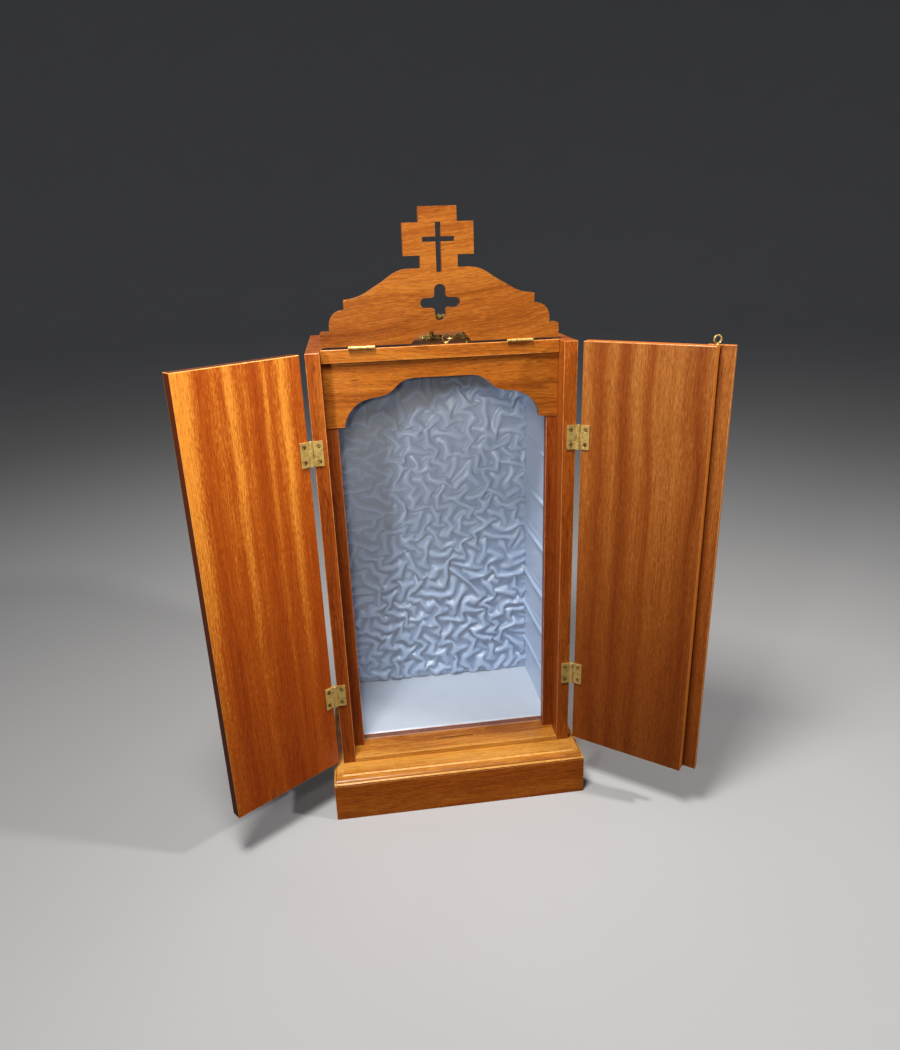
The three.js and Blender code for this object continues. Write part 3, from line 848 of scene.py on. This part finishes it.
@dataclass(frozen=True)
class Tucks:
    """The level tucks of a side wall and the puckers at its back corner.

    Attributes:
        levels: the height of each tuck, in metres.
        climb: how far a tuck climbs toward the front.
        sag: how far it sags on its way.
        width: the width of its fold.
        fold, second: how far its two folds stand off.
        gap, ridge: how far above the first fold the second lies, and its width.
        pucker: how far the corner's puckers stand off.
        swell: how far the wall swells between them.
        inset: how far the cloth starts behind the solid's face.
        columns, rows: its points.
    """

    levels: tuple[float, ...] = (0.394, 0.334, 0.277, 0.217, 0.168, 0.115)
    climb: float = 4 * MM
    sag: float = 5 * MM
    width: float = 3.2 * MM
    fold: float = 3.4 * MM
    second: float = 1.4 * MM
    gap: float = 7.5 * MM
    ridge: float = 2.2 * MM
    pucker: float = 1.1 * MM
    swell: float = 0.8 * MM
    inset: float = 1.4 * MM
    columns: int = 70
    rows: int = 460

    def relief(self, depth: np.ndarray, up: np.ndarray) -> np.ndarray:
        """How far the cloth stands off its wall.

        Args:
            depth: the share of the way from the front to the back, as a column.
            up: heights in metres, as a row.

        Returns:
            Distances as (column, row).
        """
        off = np.zeros((self.columns, self.rows))
        for k, level in enumerate(self.levels):
            line = level + self.climb * (1 - depth) - self.sag * depth * (1 - depth)
            below = (line - up) / self.width
            fold = np.where(below > 0, np.exp(-((below / 1.4) ** 2)), np.exp(-((below * 3.0) ** 2)))
            second = np.exp(-(((up - line - self.gap) / self.ridge) ** 2))
            off += self.fold * fold + self.second * second * (0.6 + 0.4 * np.sin(9 * depth + k))
        corner = np.exp(-(1 - depth) * 9.0)
        off += self.pucker * corner * (0.5 + 0.5 * np.sin(up * 520 + 3 * np.sin(up * 90)))
        off += self.swell * np.sin(up * 31 + 1.3) * np.sin(depth * 3.1)
        return off - self.inset


@dataclass
class Lining:
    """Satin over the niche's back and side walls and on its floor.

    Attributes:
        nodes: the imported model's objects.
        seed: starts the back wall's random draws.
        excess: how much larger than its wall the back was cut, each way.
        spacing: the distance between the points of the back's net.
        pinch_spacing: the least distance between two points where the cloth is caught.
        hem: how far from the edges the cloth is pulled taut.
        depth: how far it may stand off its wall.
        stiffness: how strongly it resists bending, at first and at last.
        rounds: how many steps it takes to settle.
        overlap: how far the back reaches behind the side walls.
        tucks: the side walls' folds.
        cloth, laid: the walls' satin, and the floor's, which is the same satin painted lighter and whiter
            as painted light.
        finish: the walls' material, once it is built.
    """

    nodes: dict[str, bpy.types.Object]
    seed: int = 7
    excess: float = 1.3
    spacing: float = 2.3 * MM
    pinch_spacing: float = 28 * MM
    hem: float = 34 * MM
    depth: float = 9.0 * MM
    stiffness: tuple[float, float] = (0.6, 0.1)
    rounds: int = 420
    overlap: float = 1.8 * MM
    tucks: Tucks = Tucks()
    cloth: Satin = Satin("pale_satin", (0.43, 0.57, 0.77), (0.33, 0.47, 0.69), (0.07, 0.13, 0.27))
    # painted light: the floor's satin is the walls' satin painted lighter and whiter
    laid: Satin = Satin("pale_satin_floor", (0.57, 0.64, 0.72), (0.48, 0.56, 0.65), (0.07, 0.13, 0.27))
    finish: bpy.types.Material = field(init=False)

    def build(self) -> None:
        """Builds the four sheets."""
        self.finish = self.cloth.material()
        self._back()
        self._wall("lining_left", 1.0)
        self._wall("lining_right", -1.0)
        self._floor()

    def _finish(
        self, made: bpy.types.Object, node: str, flat: tuple[float, float], held: Held
    ) -> None:
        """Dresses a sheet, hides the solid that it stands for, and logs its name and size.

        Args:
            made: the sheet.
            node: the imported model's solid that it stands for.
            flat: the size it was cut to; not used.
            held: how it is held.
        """
        made.data.materials.append(self.laid.material() if held is Held.LAID else self.finish)
        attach(made, "cabinet")
        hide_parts(node)
        LOG.info("%s, %d vertices", made.name, len(made.data.vertices))

    # -- back wall
    def _back(self) -> None:
        """The gathered back: cloth that is too large for its wall, caught at scattered points."""
        low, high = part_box("lining_back")
        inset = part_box("lining_left")[1].x - self.overlap
        width, height = -2 * inset, high.z - low.z
        cloth = self._gather(width, height)
        points = np.stack(
            [inset + cloth[..., 0], high.y - cloth[..., 1] - CLEAR, low.z + cloth[..., 2]], -1
        )
        made = smooth_mesh("satin_back", points, staggered_faces(*points.shape[:2]))
        # painted shade between the folds, set by how deep each point lies
        layer = made.data.attributes.new("hollow", "FLOAT", "POINT")
        layer.data.foreach_set("value", self._crease_shade_share(cloth).ravel())
        cut = (width * self.excess, height * self.excess)
        self._finish(made, "lining_back", cut, Held.GATHERED)

    def _gather(self, width: float, height: float) -> np.ndarray:
        """Lets a flat, staggered net of points grow until it is too large for its wall.

        Args:
            width: the wall's width.
            height: the wall's height.

        Returns:
            Points as (column, row, (across, off the wall, up)).
        """
        rng = np.random.default_rng(self.seed)
        columns = round(width / self.spacing) + 1
        step = width / (columns - 1)
        rows = round(height / (step * ROW_RATIO)) + 1
        rise = height / (rows - 1)
        column, row = np.arange(columns)[:, None], np.arange(rows)[None]
        net = np.zeros((columns, rows, 3), np.float32)
        net[..., 0] = np.clip((column + 0.5 * (row % 2) - 0.25) * step, 0, width)
        net[..., 2] = row * rise
        net[..., 1] = FIRST_SWELL * self._swell(columns, rows, SWELL_CELL, rng)
        free = np.ones((columns, rows, 1), np.float32)
        for x, z in self._pinches(width, height, rng):
            i, j = round(x / step), round(z / rise)
            free[i, j] = 0
            net[i, j, 1] = 0
            net[i, j, ::2] += rng.normal(size=2) * self.pinch_spacing * PINCH_STRAY
        edge = np.zeros((columns, rows), bool)
        edge[[0, -1]] = edge[:, [0, -1]] = True
        free[edge] = 0
        net[edge, 1] = 0
        net[[0, -1], :, 2] = row * rise
        net[0, :, 0], net[-1, :, 0] = 0, width
        net[:, [0, -1], 0] = column * step
        self._relax(net, free, *self._link_lengths(net, step, rise, width, height))
        return net

    def _link_lengths(
        self, net: np.ndarray, step: float, rise: float, width: float, height: float
    ) -> tuple[np.ndarray, np.ndarray]:
        """The full lengths of the level and the slanting links, which are taut across the hems."""
        x, z = net[..., :1], net[..., 2:]
        at_side = np.clip(1 - np.minimum(x, width - x) / self.hem, 0, 1)
        at_foot = np.clip(1 - z / self.hem, 0, 1)
        across = step * (1 + (self.excess - 1) * (1 - HEM_PULL * at_side))
        up = rise * (1 + (self.excess - 1) * (1 - HEM_PULL * at_foot))
        return across, np.hypot(across / 2, up)

    def _pinches(self, width: float, height: float, rng: np.random.Generator) -> list[np.ndarray]:
        """Scattered points where the cloth is caught, none closer than the pinch spacing."""
        caught: list[np.ndarray] = []
        for _ in range(PINCH_TRIES):
            point = rng.random(2) * (width, height)
            if all(np.hypot(*(point - other)) > self.pinch_spacing for other in caught):
                caught.append(point)
        return caught

    @staticmethod
    def _swell(columns: int, rows: int, cell: int, rng: np.random.Generator) -> np.ndarray:
        """Smooth noise from 0 to 1 over the net."""
        lattice = rng.random((columns // cell + 3, rows // cell + 3))
        x, z = np.arange(columns)[:, None] / cell, np.arange(rows)[None] / cell
        i, j = x.astype(int), z.astype(int)
        u, v = (f * f * (3 - 2 * f) for f in (x - i, z - j))
        low = lattice[i, j] * (1 - u) + lattice[i + 1, j] * u
        high = lattice[i, j + 1] * (1 - u) + lattice[i + 1, j + 1] * u
        return low * (1 - v) + high * v

    def _relax(
        self, net: np.ndarray, free: np.ndarray, level: np.ndarray, slanting: np.ndarray
    ) -> None:
        """Lengthens the links little by little, so that the net buckles into soft folds.

        Args:
            net: the points, which are moved in place.
            free: 0 where a point is caught and 1 elsewhere.
            level: the full lengths of the links along a row.
            slanting: the full lengths of the links between rows.
        """
        links = self._links(net, free, level, slanting)
        small = 1 / self.excess
        for turn in range(self.rounds):
            grown = min(1.0, small + (1 - small) * turn / (GROWING * self.rounds))
            for a, b, free_a, free_b, full, share in links:
                gap = b - a
                length = np.sqrt((gap * gap).sum(-1, keepdims=True)) + 1e-12
                pull = gap * (1 - full * grown / length) * share
                a += free_a * pull
                b -= free_b * pull
            start, end = self.stiffness
            bend = self._mean_of_six(net) - net
            net -= free * (start + (end - start) * turn / self.rounds) * (self._mean_of_six(bend) - bend)
            np.clip(net[..., 1], 0, self.depth, out=net[..., 1])

    @staticmethod
    def _links(
        net: np.ndarray, free: np.ndarray, level: np.ndarray, slanting: np.ndarray
    ) -> list[tuple[np.ndarray, ...]]:
        """Six sets of links that share no points, as (ends, freedoms, full lengths, shares)."""
        def halves(a: np.ndarray) -> tuple[tuple[np.ndarray, np.ndarray], ...]:
            """Both ends of every link, in the six sets."""
            even, odd = a[:, 0::2], a[:, 1::2]
            return (
                (a[0::2], a[1::2]),
                (a[1::2], a[2::2]),
                (even, odd),
                (even[1:], odd),
                (odd, even[:, 1:]),
                (odd, even[1:, 1:]),
            )

        lengths = halves(level)[:2] + halves(slanting)[2:]
        links = []
        for (a, b), (free_a, free_b), (full, _) in zip(halves(net), halves(free), lengths):
            n, m = min(a.shape[0], b.shape[0]), min(a.shape[1], b.shape[1])
            free_a, free_b = free_a[:n, :m], free_b[:n, :m]
            share = 1 / np.maximum(free_a + free_b, 1e-9)
            links.append((a[:n, :m], b[:n, :m], free_a, free_b, full[:n, :m], share))
        return links

    @staticmethod
    def _mean_of_six(net: np.ndarray) -> np.ndarray:
        """The mean of each inner point's six neighbours."""
        mean = net.copy()
        inner = net[:-2, 1:-1] + net[2:, 1:-1]
        for parity, shift in ((0, 0), (1, -1)):
            rows = np.arange(1 + parity, net.shape[1] - 1, 2)
            near = net[1 + shift : net.shape[0] - 1 + shift]
            far = net[2 + shift : net.shape[0] + shift]
            for side in (-1, 1):
                inner[:, rows - 1] += near[:, rows + side] + far[:, rows + side]
        mean[1:-1, 1:-1] = inner / 6
        return mean

    def _crease_shade_share(self, cloth: np.ndarray) -> np.ndarray:
        """How far each point lies below the cloth around it, from 0 to 1, as its share of the painted
        shade.
        """
        around = cloth
        for _ in range(CREASE_SHADE_REACH):
            around = self._mean_of_six(around)
        return np.clip((around - cloth)[..., 1] / CREASE_SHADE_DEPTH, 0, 1)

    # -- side walls
    def _wall(self, node: str, inward: float) -> None:
        """A smooth side wall with level tucks and small puckers at its back corner.

        Args:
            node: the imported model's solid that it stands for.
            inward: the way it faces along X.
        """
        low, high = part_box(node)
        face = high.x if inward > 0 else low.x
        front, back = low.y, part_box("lining_back")[1].y - BACK_CLEAR
        across = np.linspace(front, back, self.tucks.columns)[:, None]
        up = np.linspace(low.z, high.z, self.tucks.rows)[None]
        off = self.tucks.relief((across - front) / (back - front), up)
        points = np.stack(
            [
                face + inward * off,
                np.broadcast_to(across, off.shape),
                np.broadcast_to(up, off.shape),
            ],
            -1,
        )
        faces = grid_faces(*off.shape)
        if inward > 0:
            faces = [f[::-1] for f in faces]
        made = smooth_mesh(node.replace("lining", "satin"), points, faces)
        taken_up = 2 * self.tucks.width * len(self.tucks.levels)
        self._finish(made, node, (back - front, high.z - low.z + taken_up), Held.STRETCHED)

    # -- floor
    def _floor(self) -> None:
        """A flat floor whose front edge is turned down over its board."""
        low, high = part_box("lining_floor")
        x = np.linspace(low.x + SIDE_CLEAR, high.x - SIDE_CLEAR, FLOOR_GRID[0])[:, None]
        run = np.linspace(0, 1, FLOOR_GRID[1])[None]
        length = high.y - low.y
        y = low.y + run * length
        turned_down = LIP_DROP * np.exp(-(run * length) / LIP_WIDTH)
        ripple = 0.25 * MM * np.sin(x * 60 + 2) * np.sin(y * 75) + 0.15 * MM * np.sin(x * 170 + y * 90)
        height = high.z - CLEAR + ripple * (run > 0) - turned_down
        points = np.stack([np.broadcast_to(x, height.shape), np.broadcast_to(y, height.shape), height], -1)
        made = smooth_mesh("satin_floor", points, grid_faces(*FLOOR_GRID))
        self._finish(made, "lining_floor", (high.x - low.x, length), Held.LAID)


# ---------------------------------------------------------------- surroundings
@dataclass(frozen=True)
class Lamp:
    """A soft square light.

    Attributes:
        name: its name.
        at: where it stands.
        size: the length of its side.
        power: its power in watts.
        colour: its colour.
        aim: the height on the cabinet's middle that it faces.
        spread: the width of its beam in degrees.
    """

    name: str
    at: Point
    size: float
    power: float
    colour: Colour = (1.0, 0.98, 0.96)
    aim: float = 0.33
    spread: float = 180.0

    def build(self) -> None:
        """Adds the light to the scene."""
        data = bpy.data.lights.new(self.name, "AREA")
        data.size, data.energy, data.color = self.size, self.power, self.colour
        data.spread = math.radians(self.spread)
        lamp = bpy.data.objects.new(self.name, data)
        lamp.location = self.at
        ahead = Vector((0.0, 0.0, self.aim)) - Vector(self.at)
        lamp.rotation_euler = ahead.to_track_quat("-Z", "Y").to_euler()
        bpy.context.scene.collection.objects.link(lamp)


@dataclass
class Studio:
    """Camera, lights, floor and sky.

    Attributes:
        eye: where the camera stands.
        heading, pitch, roll: how it is turned, in radians.
        sensor, focal: its sensor's longer side and its focal length, in millimetres.
        lamps: the lights.
        flat, curve: how far the floor runs before it curves up, and the curve's radius.
        sides: how many sides the floor's circle has.
        sky_colour, sky_strength: the sky's light.
    """

    eye: Point = (-0.0936, -0.8153, 0.6244)
    heading: float = 0.1238
    pitch: float = 0.3571
    roll: float = 0.0334
    sensor: float = 36.0
    focal: float = 26.08457
    lamps: tuple[Lamp, ...] = (
        Lamp("key", (-0.22, -0.44, 1.32), 0.28, 17.0, (1.0, 0.975, 0.95)),
        Lamp("side", (0.96, -0.53, 1.05), 0.09, 9.5),
        Lamp("low", (-0.58, -1.05, 0.80), 0.12, 0.66, aim=0.46, spread=56.0),
        Lamp("back", (-0.6, 0.9, 1.3), 0.9, 1.6, (1.0, 1.0, 1.0)),
    )
    flat: float = 5.0
    curve: float = 3.5
    sides: int = 64
    sky_colour: Colour = (0.9, 0.93, 1.0)
    sky_strength: float = 0.07

    def build(self) -> None:
        """Makes the camera, the lights, the floor and the sky."""
        scene = bpy.context.scene
        scene.view_settings.view_transform = "Standard"
        self._camera(scene)
        for lamp in self.lamps:
            lamp.build()
        self._floor()
        self._sky(scene)
        LOG.info("camera, %d lights, floor and sky", len(self.lamps))

    def _camera(self, scene: bpy.types.Scene) -> None:
        """Sets the camera at the eye, turned by the heading, the pitch and the roll."""
        level = Vector((math.sin(self.heading), math.cos(self.heading), 0))
        across = Vector((math.cos(self.heading), -math.sin(self.heading), 0))
        up = Vector((0, 0, 1))
        ahead = level * math.cos(self.pitch) - up * math.sin(self.pitch)
        above = level * math.sin(self.pitch) + up * math.cos(self.pitch)
        right = across * math.cos(self.roll) - above * math.sin(self.roll)
        top = across * math.sin(self.roll) + above * math.cos(self.roll)
        data = bpy.data.cameras.new("camera")
        data.lens = self.focal
        data.sensor_width = self.sensor
        camera = bpy.data.objects.new("camera", data)
        turn = Matrix((right, top, -ahead)).transposed()
        camera.matrix_world = Matrix.Translation(self.eye) @ turn.to_4x4()
        scene.collection.objects.link(camera)
        scene.camera = camera

    def _floor(self) -> None:
        """A plain pale floor that curves up far away."""
        bend = np.linspace(0, math.pi / 2, 12)
        out = self.flat + self.curve * np.sin(bend)
        reach = np.concatenate([[0.001, self.flat * 0.5], out])[:, None]
        rise = np.concatenate([[0.0, 0.0], self.curve * (1 - np.cos(bend))])[:, None]
        angle = np.linspace(0, 2 * math.pi, self.sides)[None]
        bowl = np.stack([reach * np.cos(angle), reach * np.sin(angle), rise + 0 * angle], -1)
        floor = smooth_mesh("studio_floor", bowl, grid_faces(*bowl.shape[:2]))
        tree = Tree("studio_floor")
        cloud = tree.noise(tree.place(), 3.0)
        shade = tree.mix(cloud, (0.44, 0.44, 0.445), (0.47, 0.47, 0.47))
        floor.data.materials.append(tree.surface({"Base Color": shade, "Roughness": 0.8}))
        floor.visible_diffuse = False
        floor.visible_glossy = False

    def _sky(self, scene: bpy.types.Scene) -> None:
        """A plain pale sky."""
        world = bpy.data.worlds.new("studio")
        world.use_nodes = True
        background = world.node_tree.nodes["Background"]
        background.inputs["Color"].default_value = (*self.sky_colour, 1.0)
        background.inputs["Strength"].default_value = self.sky_strength
        scene.world = world


def glaze(pane: bpy.types.Object) -> None:
    """Gives the pane its glass."""
    pane.data.materials.clear()
    pane.data.materials.append(ClearGlass().material())
    LOG.info("clear_glass on %s", pane.name)


def main() -> None:
    """Builds the looks in order."""
    logging.basicConfig(level=logging.INFO, format="%(name)s: %(message)s")
    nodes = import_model()["nodes"]
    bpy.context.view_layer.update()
    Studio().build()
    Woodwork(nodes).build()
    Brasswork(nodes).build()
    Lining(nodes).build()
    glaze(nodes["glass_pane"])


if __name__ == "__main__":
    main()
